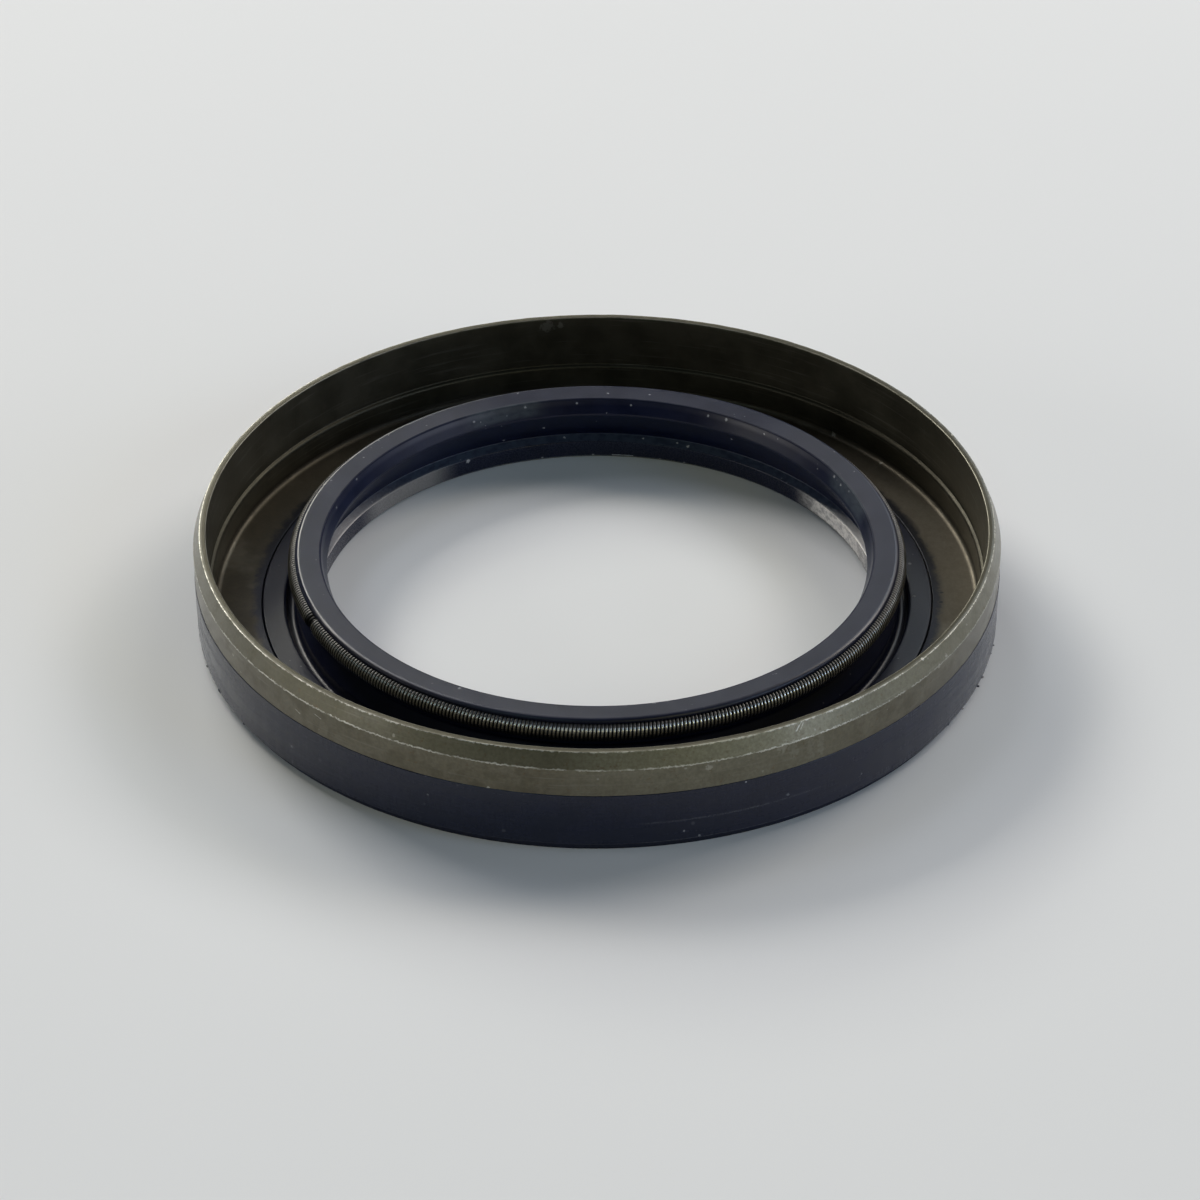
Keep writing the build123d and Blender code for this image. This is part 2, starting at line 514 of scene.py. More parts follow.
def marks(tree, where, ragged, spots=(), strokes=()):
    """Mask of single marks, each as strong as its last value.

    A spot is (angle, radius, height, size, strength) and a stroke is (place, place, half width, strength).
    """
    mask = 0.0
    for angle, radius, height, size, strength in spots:
        one = use(tree, spot, {"Millimetres": where, "Ragged": ragged, "Size": size,
                               "Place": on_ring(angle, radius, height)})["Mask"]
        mask = most(tree, mask, times(tree, one, strength))
    for start, end, half_width, strength in strokes:
        one = use(tree, stroke, {"Millimetres": where, "Ragged": ragged, "From": on_ring(*start),
                                 "To": on_ring(*end), "Half Width": half_width})["Mask"]
        mask = most(tree, mask, times(tree, one, strength))
    return mask


def coated_steel():
    """Drawn steel under a thin olive phosphate coat, worn bright along its edges."""
    finish, tree, surface, place = ring_finish("coated_steel", Metallic=0.85, Coat_Roughness=0.22)
    where = place["Millimetres"]
    radius, height, angle = place["Radius"], place["Height"], place["Angle"]
    broad = clouds(tree, where, 3.5, 0.35, 0.65)["Mask"]
    mottle = clouds(tree, where, 1.1, 0.42, 0.66, Detail=5.0)["Mask"]
    grain, ragged = clouds(tree, where, 0.3, 0.3, 0.7, Detail=5.0)
    drawn = clouds(tree, where, 0.5, 0.3, 0.7, Stretch=(1.0, 1.0, 0.12))["Mask"]
    rolled = clouds(tree, where, 0.6, 0.56, 0.72, Stretch=(0.07, 0.07, 2.0))["Mask"]

    # Outside: olive coat, greener chamfer, painted highlight at the front right, painted shade at the front
    # left
    outside = blend(tree, broad, (0.118, 0.102, 0.058, 1), (0.152, 0.136, 0.086, 1))
    outside = tint(tree, outside, (0.086, 0.071, 0.041), mottle, 0.55)
    greener = within(tree, height, width - rim_chamfer_h, width + 1, 0.03)
    outside = tint(tree, outside, (0.150, 0.147, 0.100), greener, 0.7)
    # Painted highlight: paler at the front right, most on the chamfer
    painted_highlight_front = times(tree, within(tree, angle, -86.0, -62.0, 12.0), lerp(tree, greener, 0.35, 0.9))
    outside = tint(tree, outside, (0.245, 0.238, 0.168), painted_highlight_front)
    # Painted shade: darker on the chamfer at the front left
    shaded = times(tree, within(tree, angle, -148.0, -128.0, 10.0), greener)
    outside = tint(tree, outside, (0.096, 0.090, 0.056), shaded, 0.6)
    freckles = clouds(tree, where, 0.45, 0.60, 0.72, Detail=3.0)["Mask"]
    outside = tint(tree, outside, (0.125, 0.078, 0.032), freckles, 0.5)
    outside = tint(tree, outside, (0.42, 0.41, 0.36), specks_of(tree, where, 0.9, 0.22, 0.17), 0.45)

    # Inside: wall and left flange darkened by painted shade, a browner flange, painted shade in the bend and
    # under the step
    inside = blend(tree, broad, (0.056, 0.054, 0.038, 1), (0.078, 0.074, 0.054, 1))
    on_flange = ramp(tree, height, 2.9, 2.3)
    across = node(tree, "SeparateXYZ", {0: where})[0]
    # Painted shade: the flange darkens towards the left, where the wall stands over it
    flange = tint(tree, (0.106, 0.094, 0.072, 1), (0.050, 0.044, 0.033), ramp(tree, across, -22.0, -33.0))
    flange = tint(tree, flange, (0.080, 0.067, 0.048), mottle, 0.4)
    inside = blend(tree, on_flange, inside, flange)
    folds = most(tree, within(tree, height, step_h - 0.3, step_h + 0.1, 0.08),
                 within(tree, height, 2.15, 2.5, 0.12))
    darker_right = lerp(tree, within(tree, angle, -20.0, 28.0, 10.0), 0.55, 0.78)
    inside = tint(tree, inside, (0.018, 0.017, 0.013), folds, darker_right)

    skin = ramp(tree, radius, upper_wall_r + 0.3, upper_wall_r + 0.45)
    base = blend(tree, skin, inside, outside)
    base = tint(tree, base, (0.070, 0.061, 0.040), grain, 0.38)
    base = tint(tree, base, (0.26, 0.25, 0.21), rolled, 0.22)
    # Painted shade: the rim's top face darkened
    on_top = times(tree, ramp(tree, height, width - 0.12, width - 0.06),
                   within(tree, radius, upper_wall_r + 0.06, case_r - rim_chamfer_w - 0.05, 0.04))
    base = tint(tree, base, (0.060, 0.055, 0.038), on_top, 0.65)

    # Bright metal along the worn edges and in single marks
    near_edge = ramp(tree, radius, case_r - rim_chamfer_w - 0.12, case_r - rim_chamfer_w)
    outer_edge = use(tree, worn_line, {
        "Millimetres": where, "Distance": calc(tree, "SUBTRACT", height, width), "Half Width": 0.12,
        "Shake": 0.42, "Gaps": 0.44, "Gap Size": 1.3})["Mask"]
    outer_edge = times(tree, outer_edge, near_edge,
                       lerp(tree, within(tree, angle, -46.0, 20.0, 8.0), 1.0, 0.7))
    inner_edge = use(tree, worn_line, {
        "Millimetres": where, "Distance": calc(tree, "SUBTRACT", radius, upper_wall_r + 0.05),
        "Half Width": 0.06, "Shake": 0.06, "Gaps": 0.38, "Gap Size": 3.0})["Mask"]
    inner_edge = times(tree, inner_edge, ramp(tree, height, width - 0.2, width - 0.08))
    chamfer_edge = use(tree, worn_line, {
        "Millimetres": where, "Distance": calc(tree, "SUBTRACT", height, width - rim_chamfer_h),
        "Half Width": 0.10, "Shake": 0.42, "Gaps": 0.43, "Gap Size": 1.1})["Mask"]
    chamfer_edge = times(tree, chamfer_edge, near_edge,
                         lerp(tree, within(tree, angle, -52.0, 200.0, 8.0), 1.0, 0.45))
    single = marks(tree, where, ragged, (
        (-75.3, 36.0, 8.0, 0.32, 0.34), (-64.8, 36.0, 8.4, 0.60, 0.18), (97.9, 34.8, 9.2, 0.75, 0.22),
        (95.8, 34.8, 9.2, 0.40, 0.25), (-36.4, 36.0, 8.5, 0.26, 0.40), (-34.3, 35.9, 8.8, 0.24, 0.40),
        (-104.5, 36.0, 6.0, 0.16, 0.8), (22.0, 35.4, 10.0, 0.25, 0.7), (-39.2, 35.4, 10.0, 0.22, 0.9),
        (-36.0, 35.4, 10.0, 0.18, 0.9), (48.5, 34.37, 2.2, 0.30, 0.5), (37.6, 34.05, 2.2, 0.25, 0.5),
        (-63.4, 36.0, 8.6, 0.35, 0.22), (-150.0, 36.0, 7.4, 0.18, 0.5), (-118.0, 35.8, 9.0, 0.20, 0.4),
        (140.0, 36.0, 7.0, 0.30, 0.4),
    ), (
        ((-62.7, 35.67, 9.35), (-61.7, 35.42, 9.94), 0.07, 1.0),
        ((-62.3, 35.75, 9.2), (-61.5, 35.5, 9.8), 0.04, 0.7),
        ((-71.4, 35.42, 9.95), (-68.6, 35.42, 9.95), 0.10, 1.0),
        ((-66.9, 35.42, 9.95), (-65.9, 35.42, 9.95), 0.09, 0.9),
        ((-60.9, 36.0, 8.3), (-60.6, 36.0, 6.6), 0.50, 0.07),
        ((-59.2, 36.0, 8.4), (-59.0, 36.0, 6.7), 0.40, 0.07),
        ((-63.6, 36.0, 8.4), (-63.2, 36.0, 7.4), 0.50, 0.10),
        ((-131.2, 36.0, 7.9), (-129.9, 36.0, 7.7), 0.05, 0.8),
        ((-134.8, 36.0, 7.2), (-133.9, 36.0, 7.0), 0.05, 0.7),
    ))
    edges = most(tree, outer_edge, times(tree, inner_edge, 0.3), chamfer_edge, times(tree, single, 0.8))
    base = tint(tree, base, (0.60, 0.59, 0.52), edges, 0.9)

    # Dark film that the mould left on the flange beside the rubber ring
    wander = shake(tree, shake(tree, radius, ragged, 0.7), mottle, 0.30)
    film = times(tree, ramp(tree, wander, ring_outer_r() + 1.15, ring_outer_r() + 0.35), on_flange)
    film = most(tree, film, marks(tree, where, ragged, (
        (-3.2, 30.6, 2.0, 0.55, 1.0), (-4.4, 31.0, 2.0, 0.30, 1.0), (-1.6, 31.1, 2.0, 0.22, 0.9),
        (176.0, 30.9, 2.0, 0.35, 0.9), (120.0, 31.0, 2.0, 0.3, 0.8))))
    base = tint(tree, base, (0.012, 0.014, 0.022), film, 0.92)
    tree.links.new(base, surface.inputs["Base Color"])
    rough = lerp(tree, film, lerp(tree, broad, 0.46, 0.54), 0.36)
    tree.links.new(lerp(tree, edges, rough, 0.42), surface.inputs["Roughness"])
    tree.links.new(times(tree, skin, lerp(tree, mottle, 0.85, 0.55)), surface.inputs["Coat Weight"])
    relief = calc(tree, "MULTIPLY_ADD", grain, 0.5, times(tree, drawn, 0.5))
    bump(tree, surface, calc(tree, "MULTIPLY_ADD", film, 1.5, relief), 0.006)
    return finish


def on_bore(angle, height):
    """Place on the seal's bore at an angle and a height: foot, land, ledge, air cone, lip, oil cone."""
    heights = (0.0, land_chamfer, land_top_h, land_top_h + ledge_rise, lip_h - lip_band / 2,
               lip_h + lip_band / 2, head_h - head_face_fall)
    radii = (land_r + land_chamfer, land_r, land_r, land_r + ledge_w, lip_r, lip_r, lip_r + oil_cone_w)
    return angle, float(np.interp(height, heights, radii)), height


def rubber_marks(tree, where, ragged):
    """Mask of the larger specks and scratches on the rubber: on its head, its outside and its bore."""
    in_the_open = (
        (106.5, 26.6, 7.0, 0.13, 0.9), (69.2, 26.85, 7.0, 0.10, 0.8), (87.6, 25.6, 7.0, 0.12, 0.8),
        (78.7, 25.8, 7.0, 0.10, 0.7), (137.2, 26.6, 7.0, 0.12, 0.6), (140.0, 26.6, 7.0, 0.11, 0.6),
        (146.7, 25.9, 7.0, 0.10, 0.5), (157.3, 26.5, 7.0, 0.12, 0.5), (164.8, 27.0, 7.0, 0.12, 0.6),
        (25.9, 26.4, 7.0, 0.11, 0.5), (-136.0, 36.05, 2.9, 0.14, 0.8), (-78.6, 36.05, 1.8, 0.12, 0.6),
        (-70.2, 36.05, 5.8, 0.10, 0.7), (-76.5, 36.05, 1.1, 0.14, 0.5), (-2.9, 28.6, 2.0, 0.16, 0.5),
        (-64.0, 36.05, 3.3, 0.16, 0.35), (-113.0, 36.05, 4.0, 0.10, 0.4), (-52.0, 36.05, 2.4, 0.10, 0.4),
    )
    in_the_bore = (
        (94.4, 6.5, 0.14, 0.8), (106.0, 6.6, 0.13, 0.7), (82.4, 6.4, 0.12, 0.7), (64.7, 6.5, 0.14, 0.8),
        (60.2, 6.6, 0.16, 1.0), (50.3, 6.5, 0.13, 0.8), (27.4, 6.6, 0.16, 0.7), (24.3, 6.5, 0.14, 0.7),
        (20.7, 6.7, 0.13, 0.7), (153.7, 6.7, 0.14, 0.5), (164.7, 6.5, 0.14, 0.5), (101.6, 3.7, 0.16, 0.9),
        (58.8, 4.6, 0.13, 0.8), (110.2, 2.6, 0.16, 0.8), (97.0, 2.1, 0.13, 0.8), (80.0, 2.1, 0.12, 0.8),
        (72.5, 2.1, 0.13, 0.8), (70.0, 2.0, 0.17, 1.0), (119.2, 1.66, 0.24, 1.0), (102.0, 0.32, 0.14, 0.8),
        (90.8, 0.32, 0.13, 0.8), (76.1, 0.3, 0.13, 0.8), (70.6, 0.3, 0.13, 0.8),
    )
    spots = [*in_the_open, *((*on_bore(angle, height), *rest) for angle, height, *rest in in_the_bore)]
    return marks(tree, where, ragged, spots, (
        (on_bore(86.6, 0.33), on_bore(82.2, 0.33), 0.07, 1.0),
        ((-54.0, 25.2, 7.0), (-53.0, 25.4, 7.0), 0.05, 0.9),
        ((-79.2, 24.9, 6.95), (-78.7, 24.95, 6.95), 0.05, 0.9),
        ((-84.8, 24.9, 6.95), (-84.4, 24.95, 6.95), 0.04, 0.8),
        (on_bore(38.0, 1.5), on_bore(30.0, 0.9), 0.07, 0.35),
        (on_bore(33.0, 1.6), on_bore(27.0, 0.6), 0.05, 0.30),
        (on_bore(28.0, 1.3), on_bore(22.0, 0.7), 0.06, 0.35),
    ))


def moulded_rubber():
    """Black nitrile rubber: satin where the mould was textured, smoother in the bore, with dust on it."""
    finish, tree, surface, place = ring_finish("moulded_rubber", IOR=1.32, Coat_Roughness=0.33)
    where = place["Millimetres"]
    radius, height, angle = place["Radius"], place["Height"], place["Angle"]
    across, back = node(tree, "SeparateXYZ", {0: where})[:2]
    broad = clouds(tree, where, 2.5, 0.35, 0.65)["Mask"]
    grain, ragged = clouds(tree, where, 0.14, 0.3, 0.7, Detail=5.0)
    banded = clouds(tree, where, 1.0, 0.38, 0.62, Stretch=(0.09, 0.09, 1.3))["Mask"]
    upright = clouds(tree, where, 0.35, 0.35, 0.65, Stretch=(1.0, 1.0, 0.12))["Mask"]
    scuffs = clouds(tree, where, 0.7, 0.36, 0.60, Detail=6.0, Stretch=(1.0, 1.0, 1.6))["Mask"]

    # Places on the rubber, each a mask
    outside = ramp(tree, radius, 35.0, 35.5)
    foot = times(tree, outside, ramp(tree, height, 0.98, 0.86))
    in_bore = ramp(tree, radius, lip_r + oil_cone_w + 0.3, lip_r + oil_cone_w)
    on_land = times(tree, ramp(tree, radius, land_r + 0.2, land_r + 0.05), ramp(tree, height, 2.2, 1.9))
    ledge = times(tree, within(tree, height, 1.86, 2.28, 0.05), within(tree, radius, 25.26, 26.0, 0.03))
    lip_edge = times(tree, within(tree, radius, 24.71, 24.90, 0.03), ramp(tree, height, 6.78, 6.84))
    head_round = times(tree, within(tree, radius, 26.86, 27.3, 0.10), ramp(tree, height, 6.5, 6.6),
                       ramp(tree, across, 6.0, -8.0, 0.35, 1.0), ramp(tree, back, -14.0, -9.0, 0.25, 1.0))
    under_lip = times(tree, ramp(tree, radius, 28.5, 28.1), ramp(tree, height, 5.5, 5.2))
    dull_side = times(tree, ramp(tree, across, -21.0, -26.0), ramp(tree, height, 2.4, 2.1), 0.75)
    far_face = times(tree, within(tree, angle, 55.0, 110.0, 16.0), ramp(tree, height, 6.7, 6.9))

    # Lint, single marks and two faint lines left by the mould
    upward = node(tree, "NewGeometry", {})["True Normal"]
    facing_up = ramp(tree, node(tree, "SeparateXYZ", {0: upward})[2], 0.2, 0.9)
    lint = most(tree, specks_of(tree, where, 1.3, 0.14, 0.24),
                times(tree, specks_of(tree, where, 0.5, 0.10, 0.12), 0.7))
    settled = most(tree, lerp(tree, facing_up, 0.12, 0.4), times(tree, in_bore, 0.55))
    lint = times(tree, lint, lerp(tree, outside, settled, 0.10))
    lines = times(tree, within(tree, angle, -82.0, -61.0, 4.0),
                  most(tree, within(tree, height, 2.92, 3.0, 0.07), within(tree, height, 0.9, 0.98, 0.05)),
                  ramp(tree, ragged, 0.38, 0.62))
    specks = most(tree, lint, times(tree, rubber_marks(tree, where, ragged), 0.9), times(tree, lines, 0.13))

    # Colour: bluish black, painted reflections on the land and the oil cone, rubbing at the land's right,
    # dust on the ledge
    # Rubbed land at the right, made paler still by a painted reflection
    rubbed_and_painted_sheen = times(tree, ramp(tree, angle, 3.0, 24.0), ramp(tree, angle, 43.0, 33.0), on_land,
                   lerp(tree, scuffs, 0.5, 1.0), ramp(tree, height, 0.25, 0.5))
    # Painted reflection: paler land at the left
    painted_land_reflection = times(tree, within(tree, angle, 130.0, 143.0, 9.0), on_land)
    # Painted reflection: paler oil cone at two ranges of angle
    painted_sheen_angles = most(tree, within(tree, angle, 15.0, 25.0, 6.0), within(tree, angle, 106.0, 116.0, 6.0))
    painted_cone_reflection = times(tree, painted_sheen_angles, in_bore, ramp(tree, height, 5.5, 5.9), lerp(tree, scuffs, 0.65, 1.0))
    base = blend(tree, broad, (0.0014, 0.0036, 0.0190, 1), (0.0030, 0.0058, 0.0250, 1))
    base = tint(tree, base, (0.0075, 0.0100, 0.0240), outside, banded, 0.5)
    base = tint(tree, base, (0.94, 0.90, 0.85), rubbed_and_painted_sheen, 0.92)
    base = tint(tree, base, (0.42, 0.40, 0.37), painted_land_reflection, 0.46)
    base = tint(tree, base, (0.040, 0.050, 0.066), painted_cone_reflection)
    base = tint(tree, base, (0.030, 0.041, 0.066), ledge, lerp(tree, scuffs, 0.5, 1.0))
    base = tint(tree, base, (0.42, 0.43, 0.46), specks)
    tree.links.new(base, surface.inputs["Base Color"])

    # Roughness, then the strength of the gloss on top of it
    rough = lerp(tree, outside, 0.33, lerp(tree, banded, 0.32, 0.20))
    rough = shake(tree, rough, upright, times(tree, outside, 0.06))
    rough = lerp(tree, on_land, rough, lerp(tree, ramp(tree, ragged, 0.4, 0.6), 0.20, 0.34))
    rough = shake(tree, rough, broad, 0.05)
    rough = lerp(tree, most(tree, lip_edge, foot), rough, 0.75)
    rough = lerp(tree, head_round, rough, 0.92)
    tree.links.new(lerp(tree, specks, rough, 0.8), surface.inputs["Roughness"])
    shine = lerp(tree, ramp(tree, height, 5.6, 6.3), 0.30, 0.66)
    low_in_bore = times(tree, in_bore, ramp(tree, height, 6.6, 6.2))
    for mask, level in ((low_in_bore, 0.10), (under_lip, 0.02), (lip_edge, 0.0), (head_round, 0.0),
                        (dull_side, 0.02), (far_face, 0.25), (outside, 0.55), (foot, 0.0)):
        shine = lerp(tree, mask, shine, level)
    shine = most(tree, shine, times(tree, on_land, lerp(tree, rubbed_and_painted_sheen, 0.6, 1.0)))
    tree.links.new(shine, surface.inputs["Coat Weight"])
    bump(tree, surface, calc(tree, "MULTIPLY_ADD", specks, 2.0, grain), 0.003)
    return finish


def spring_steel():
    """Bright drawn spring wire, slightly toned, with painted shade between its turns, under the coil and by
    the lip. How far a point lies from the circle through the coil's middle tells crest from gap."""
    finish, tree, surface, place = ring_finish("spring_steel", Metallic=1.0)
    aside = calc(tree, "SUBTRACT", place["Radius"], spring_r)
    above = calc(tree, "SUBTRACT", place["Height"], spring_h)
    reach = calc(tree, "SQRT", calc(tree, "MULTIPLY_ADD", aside, aside, times(tree, above, above)))
    broad = clouds(tree, place["Millimetres"], 1.4, 0.35, 0.65)["Mask"]
    base = blend(tree, broad, (0.80, 0.79, 0.76, 1), (0.94, 0.92, 0.88, 1))
    # Painted shade between the turns, under the coil and by the lip
    between = ramp(tree, reach, coil_d / 2 - 0.010, coil_d / 2 - 0.055)
    hidden = most(tree, ramp(tree, above, 0.02, -0.45), ramp(tree, above, 0.54, 0.68))
    painted_shade = most(tree, between, times(tree, hidden, 0.90))
    base = tint(tree, base, (0.012, 0.012, 0.014), painted_shade, 0.95)
    tree.links.new(base, surface.inputs["Base Color"])
    tree.links.new(lerp(tree, painted_shade, lerp(tree, broad, 0.19, 0.26), 0.5), surface.inputs["Roughness"])
    return finish


def pale_floor():
    """Plain pale floor with the faintest cloudiness."""
    finish, tree, surface, position = plain_finish("pale_floor", Roughness=0.9, Specular_IOR_Level=0.1)
    noise = node(tree, "TexNoise", {"Vector": position, "Scale": 9.0, "Detail": 3.0})[0]
    colour = blend(tree, noise, (0.735, 0.750, 0.775, 1), (0.770, 0.782, 0.800, 1))
    tree.links.new(colour, surface.inputs["Base Color"])
    return finish


# Pieces

def bonded_line():
    """Corners of the steel under the rubber, from the outside wall to the shut-off line."""
    shutoff_r = ring_outer_r()
    return [
        (case_r, cover_h, 0),
        (lower_skin_r, cover_h - outer_step_h, 0),
        (lower_skin_r, foot_t, bend_r + sheet_t),
        (shutoff_r - flange_tuck, foot_t, 0),
        (shutoff_r - flange_tuck, flange_top - flange_edge_fall, 0),
        (shutoff_r, flange_top - shutoff_depth, 0),
    ]


def membrane_back(height):
    """Radius of the membrane's oil side, parallel to the lip's air-side cone at the membrane's thickness."""
    cone_foot_r = land_r + ledge_w
    cone_foot_h = land_top_h + ledge_rise
    run = cone_foot_r - lip_r
    rise = lip_h - lip_band / 2 - cone_foot_h
    return cone_foot_r - (height - cone_foot_h) * run / rise + membrane_t * math.hypot(run, rise) / rise


def ring_outer_r():
    """Radius of the line where the mould closed on the flange."""
    return membrane_back(land_top_h + ledge_rise) + moat_w + ring_w


def case_section():
    """Closed section of the drawn cup, with every edge at its true rounding."""
    shutoff_r = ring_outer_r()
    return softened(bonded_line() + [
        (shutoff_r + shutoff_w / 2, flange_top, shutoff_edge_r),
        (lower_wall_r, flange_top, bend_r),
        (lower_wall_r, step_h - step_fall, step_edge_r),
        (upper_wall_r, step_h, step_blend_r),
        (upper_wall_r, width, rim_inner_edge_r),
        (case_r - rim_chamfer_w, width, rim_outer_edge_r),
        (case_r, width - rim_chamfer_h, chamfer_edge_r),
        (case_r, cover_h + closing, 0),
    ])


def rubber_section():
    """Closed section of the moulding: cover, foot, land, lip, spring groove, membrane, moat and ring."""
    lip_foot_h = lip_h - lip_band / 2
    cone_foot_h = land_top_h + ledge_rise
    nose_r = head_r + nose_out
    groove_top = math.acos((head_r - spring_r) / seat_r)
    groove_end = 2 * math.pi - math.acos((nose_r - spring_r) / seat_r)
    nose_top_h = spring_h + seat_r * math.sin(groove_end)
    nose_foot_h = nose_top_h - nose_h
    waist_h = nose_foot_h - nose_slope_h
    moat_in_r = membrane_back(cone_foot_h)
    moat_r = moat_in_r + moat_w
    shutoff_r = ring_outer_r()
    outside_to_head = softened(list(reversed(bonded_line())) + [
        (cover_r, cover_h - cover_proud, cover_edge_r),
        (cover_r, foot_chamfer_h, foot_edge_r),
        (cover_r - foot_chamfer_w, 0, foot_edge_r),
        (land_r + land_chamfer, 0, bore_edge_r),
        (land_r, land_chamfer, land_edge_r),
        (land_r, land_top_h, land_edge_r),
        (land_r + ledge_w, cone_foot_h, ledge_root_r),
        (lip_r, lip_foot_h, lip_edge_r),
        (lip_r, lip_foot_h + lip_band, lip_edge_r),
        (lip_r + oil_cone_w, head_h - head_face_fall, head_inner_edge_r),
        (head_r, head_h, head_outer_edge_r),
        (head_r, spring_h + seat_r * math.sin(groove_top), 0),
    ])
    groove = arc_points((spring_r, spring_h), seat_r, groove_top, groove_end, groove_steps)[1:]
    nose_to_ring = softened([
        (nose_r, nose_top_h, 0),
        (nose_r, nose_foot_h, nose_edge_r),
        (membrane_back(waist_h), waist_h, waist_r),
        (moat_in_r, cone_foot_h, membrane_root_r),
        (moat_in_r, moat_floor_h, moat_bottom_r),
        (moat_r, moat_floor_h, moat_bottom_r),
        (moat_r, flange_top, moat_edge_r),
        (shutoff_r - shutoff_w / 2, flange_top, shutoff_edge_r),
        (shutoff_r, flange_top - shutoff_depth + closing, 0),
    ])[1:]
    return np.concatenate([outside_to_head, groove, nose_to_ring])


def case_shell(finish):
    """The drawn case: its section turned round the axis, a hair out of round and with a restless rim."""
    section = case_section()

    def out_of_round(angle, r, z):
        above_cover = np.clip((z - 6) / 4, 0, 1)
        return ripple(angle, amplitude=0.012, lowest=2, highest=5, seed=11) * above_cover

    def uneven_rim(angle, r, z):
        edge = np.clip((z - (width - 0.3)) / 0.3, 0, 1)
        return (ripple(angle, amplitude=0.014, lowest=12, highest=180, seed=12) - drawn_in) * edge

    points = turned(section, out_of_round, uneven_rim)
    faces = [grid_quads(around_count, len(section))]
    piece("case_shell", points, faces, finish, "steel_case")


def lip_and_cover(finish):
    """The moulding: its section turned round the axis, with a slightly wandering edge on the steel."""
    section = rubber_section()

    def wandering_edge(angle, r, z):
        edge = np.clip((r - (cover_r - 0.2)) / 0.1, 0, 1) * np.clip((z - (cover_h - 0.4)) / 0.3, 0, 1)
        return ripple(angle, amplitude=0.025, lowest=2, highest=70, seed=21) * edge

    def rough_foot(angle, r, z):
        by_chamfer = np.clip(1 - np.abs(z - foot_chamfer_h) / 0.3, 0, 1)
        edge = np.clip((r - (cover_r - 0.25)) / 0.2, 0, 1) * by_chamfer
        return (ripple(angle, amplitude=0.02, lowest=20, highest=200, seed=22) - drawn_in) * edge

    points = turned(section, rough_foot, wandering_edge)
    faces = [grid_quads(around_count, len(section))]
    piece("lip_and_cover", points, faces, finish, "rubber_lip_body")


def spring_coil(finish):
    """The garter spring: one wire wound close round a circle, its tapered end screwed into the other end.

    Along the circle at angle p the turn angle is t = 2 pi (way along) / wire thickness. The wire's centre
    lies q (cos t, sin t) from the circle in the plane across it, where q falls smoothly from the coil's
    radius to the nib's. The wire's own ring stands across the centre line's direction.
    """
    gap, taper, hidden = (length / spring_r for length in (nib_gap, nib_taper, nib_hidden))
    start = joint_angle + gap / 2
    sweep = 2 * math.pi + hidden
    turns = round(sweep * spring_r / wire_d)
    way = np.linspace(0, 1, turns * wire_steps_per_turn + 1)
    along = start + way * sweep
    turn = 2 * math.pi * turns * way
    full = (coil_d - wire_d) / 2
    thin = (nib_d - wire_d) / 2
    nib_start = start + 2 * math.pi - gap - taper
    fall = np.clip((along - nib_start) / taper, 0, 1)
    reach = full + (thin - full) * fall * fall * (3 - 2 * fall)
    outward = np.stack([np.cos(along), np.sin(along), np.zeros_like(along)], axis=1)
    upward = np.array([0.0, 0.0, 1.0])
    spoke = outward * np.cos(turn)[:, None] + upward * np.sin(turn)[:, None]
    centre = outward * spring_r + upward * spring_h + spoke * reach[:, None]
    ahead = np.gradient(centre, axis=0)
    ahead /= np.linalg.norm(ahead, axis=1, keepdims=True)
    across = np.cross(ahead, spoke)
    across /= np.linalg.norm(across, axis=1, keepdims=True)
    spoke = np.cross(across, ahead)
    side = np.linspace(0, 2 * math.pi, wire_sides, endpoint=False)[None, :, None]
    ring = spoke[:, None, :] * np.cos(side) + across[:, None, :] * np.sin(side)
    points = centre[:, None, :] + ring * wire_d / 2
    piece("spring_coil", points, tube_faces(len(along), wire_sides), finish, "garter_spring")


def crumbs(name, places, finish, seed):
    """Small lumps of trimmed rubber or dust, each at (angle, radius, height, along, out, tall).

    A lump is a sphere of latitudes and longitudes stretched to half its sizes along the ring, outwards and
    upwards, with its radius changed by a few waves of random phase, so that no two are alike.
    """
    rows, columns, last_latitude = 9, 14, 1.35
    random = np.random.default_rng(seed)
    latitude = np.linspace(-last_latitude, last_latitude, rows)[None, :, None]
    longitude = np.linspace(0, 2 * math.pi, columns, endpoint=False)[None, None, :]
    angle, radius, height, along, out, tall = np.array(places, float).T[:, :, None, None]
    phases = random.uniform(0, 2 * math.pi, (4, len(places), 1, 1))
    round_it = 0.22 * np.sin(2 * longitude + phases[0]) + 0.16 * np.sin(3 * longitude + phases[1])
    lump = 1 + np.cos(latitude) * round_it
    lump = lump + 0.18 * np.sin(3 * latitude + longitude + phases[2]) * np.cos(latitude)
    forward = lump * np.cos(latitude) * np.cos(longitude) * along / 2
    outward = lump * np.cos(latitude) * np.sin(longitude) * out / 2
    upward = lump * np.sin(latitude) * tall / 2 + forward * 0.5 * np.sin(phases[3])
    turn = np.radians(angle)
    x = (radius + outward) * np.cos(turn) - forward * np.sin(turn)
    y = (radius + outward) * np.sin(turn) + forward * np.cos(turn)
    points = np.stack([x, y, height + upward], axis=-1)
    starts = (np.arange(len(places)) * rows * columns)[:, None, None]
    faces = [(starts + part[None]).reshape(-1, part.shape[1]) for part in tube_faces(rows, columns)]
    piece(name, points, faces, finish)


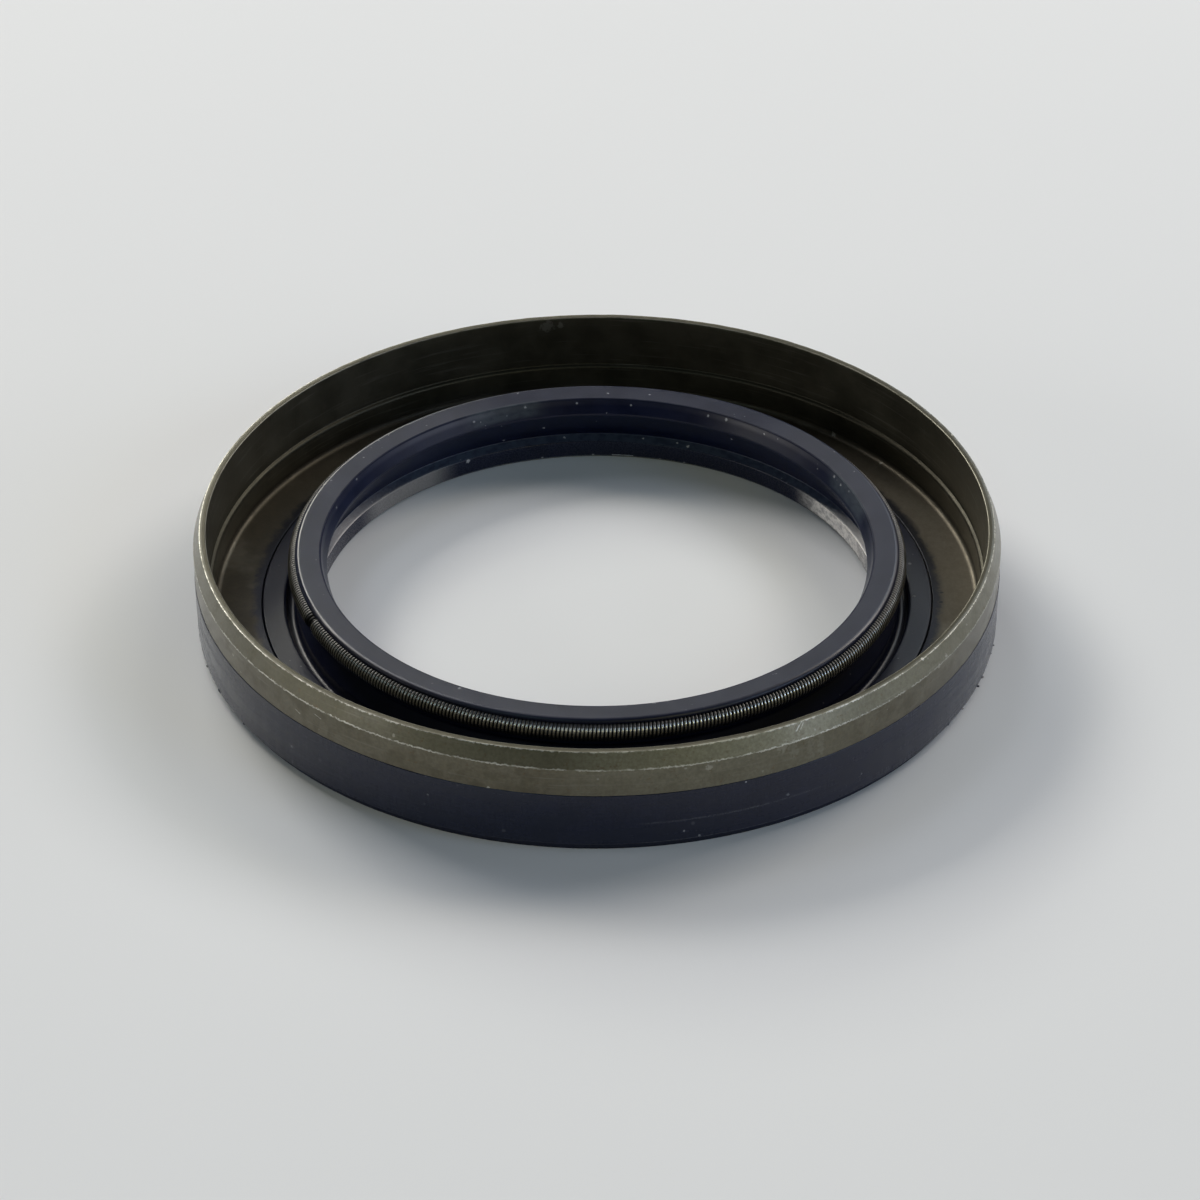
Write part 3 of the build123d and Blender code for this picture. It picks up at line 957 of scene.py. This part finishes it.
def flash_crumbs(finish):
    """Bits of flash left on the foot's edge where the moulding was trimmed, most of them at the right."""
    crumbs("flash_crumbs", (
        (-12.2, 36.03, 0.92, 0.34, 0.14, 0.16), (-14.4, 36.02, 0.98, 0.20, 0.10, 0.14),
        (-20.2, 36.05, 0.88, 0.42, 0.16, 0.16), (-22.3, 36.05, 0.82, 0.26, 0.18, 0.18),
        (-28.5, 36.02, 0.93, 0.46, 0.14, 0.14), (-32.7, 36.02, 1.00, 0.30, 0.10, 0.12),
        (-41.0, 36.00, 0.95, 0.22, 0.10, 0.10), (-76.4, 36.00, 0.95, 0.30, 0.10, 0.10),
        (-148.0, 36.02, 0.90, 0.30, 0.12, 0.14), (-156.5, 36.02, 0.95, 0.40, 0.12, 0.12),
        (-163.0, 36.02, 0.92, 0.24, 0.12, 0.14), (118.0, 36.00, 0.93, 0.40, 0.12, 0.14),
        (64.0, 36.00, 0.95, 0.28, 0.12, 0.12), (23.0, 36.00, 0.92, 0.36, 0.12, 0.14),
    ), finish, 41)


def stage_floor(finish):
    """Plain pale floor, a large flat disc under the seal."""
    count, radius = 64, 3000.0
    angle = np.linspace(0, 2 * math.pi, count, endpoint=False)
    points = np.stack([radius * np.cos(angle), radius * np.sin(angle), np.zeros(count)], axis=1) * MM
    mesh = bpy.data.meshes.new("floor")
    mesh.from_pydata(points.tolist(), [], [list(range(count))])
    mesh.materials.append(finish)
    made = placed("floor", mesh)


def photo_camera():
    """Camera at the photograph's place, turned in the order roll, tilt down, lean aside."""
    data = bpy.data.cameras.new("camera")
    data.lens = camera_lens
    data.sensor_width = camera_sensor
    data.clip_start = 0.01
    made = placed("camera", data)
    place = Matrix.Translation([value * MM for value in eye])
    lean = Matrix.Rotation(-camera_aside, 4, "Z")
    tilt = Matrix.Rotation(math.pi / 2 - camera_down, 4, "X")
    roll = Matrix.Rotation(-camera_roll, 4, "Z")
    made.matrix_world = place @ lean @ tilt @ roll
    bpy.context.scene.camera = made


def softbox(name, azimuth, elevation, wide, high, light):
    """Rectangular lamp that faces the seal from 1.5 m away.

    Its azimuth is counted from straight behind the seal to the right, and its width and height are the
    angles in degrees that it covers as seen from the seal. Its power is pi times its area times its
    radiance, so a white surface in it mirrors that radiance.
    """
    away = 1.5
    across = 2 * away * math.tan(math.radians(wide * math.cos(math.radians(elevation)) / 2))
    tall = 2 * away * math.tan(math.radians(high / 2))
    strongest = max(light)
    data = bpy.data.lights.new(name, "AREA")
    data.shape = "RECTANGLE"
    data.size, data.size_y = across, tall
    data.energy = math.pi * across * tall * strongest
    data.color = [share / strongest for share in light]
    swing = Matrix.Rotation(-math.radians(azimuth), 4, "Z")
    rise = Matrix.Rotation(math.radians(elevation), 4, "X")
    place = swing @ rise @ Matrix.Translation((0, away, 0))
    made = placed(name, data)
    made.matrix_world = place @ Matrix.Rotation(math.pi / 2, 4, "X") @ Matrix.Rotation(math.pi, 4, "Y")


def studio():
    """Daylight from two broad windows behind the seal, and weak bluish light from the sides and front."""
    for name, azimuth, elevation, wide, high, light in (
        ("left_window", -37.5, 34.0, 30.0, 16.0, (12.8, 12.2, 11.2)),
        ("left_window_foot", -22.5, 23.0, 30.0, 9.0, (10.6, 10.5, 9.0)),
        ("left_window_side", -15.0, 42.5, 15.0, 18.0, (2.8, 2.8, 2.9)),
        ("left_window_top", -30.0, 58.0, 45.0, 12.0, (1.7, 1.8, 2.1)),
        ("right_window", 52.5, 34.0, 30.0, 16.0, (8.7, 8.2, 7.8)),
        ("right_window_side", 22.5, 34.0, 30.0, 16.0, (1.9, 2.1, 2.3)),
        ("right_window_top", 37.5, 47.0, 30.0, 10.0, (3.8, 3.5, 2.8)),
        ("left_wall", -105.0, 14.0, 40.0, 14.0, (3.9, 3.8, 3.7)),
        ("right_wall", 115.0, 29.0, 30.0, 14.0, (1.4, 2.0, 2.9)),
        ("right_wall_foot", 105.0, 14.0, 50.0, 14.0, (2.7, 2.9, 3.5)),
        ("front_right", 150.0, 29.0, 30.0, 14.0, (1.7, 1.6, 0.8)),
        ("front_left", -150.0, 43.0, 30.0, 14.0, (0.8, 1.2, 1.3)),
    ):
        softbox(name, azimuth, elevation, wide, high, light)
    world = bpy.data.worlds.new("room")
    world.use_nodes = True
    background = world.node_tree.nodes["Background"]
    background.inputs["Color"].default_value = (0.85, 0.95, 1.1, 1)
    background.inputs["Strength"].default_value = 0.02
    bpy.context.scene.world = world


photo_camera()
studio()
stage_floor(pale_floor())
case_shell(coated_steel())
rubber = moulded_rubber()
lip_and_cover(rubber)
flash_crumbs(rubber)
spring_coil(spring_steel())
bpy.context.scene.view_settings.view_transform = "Standard"
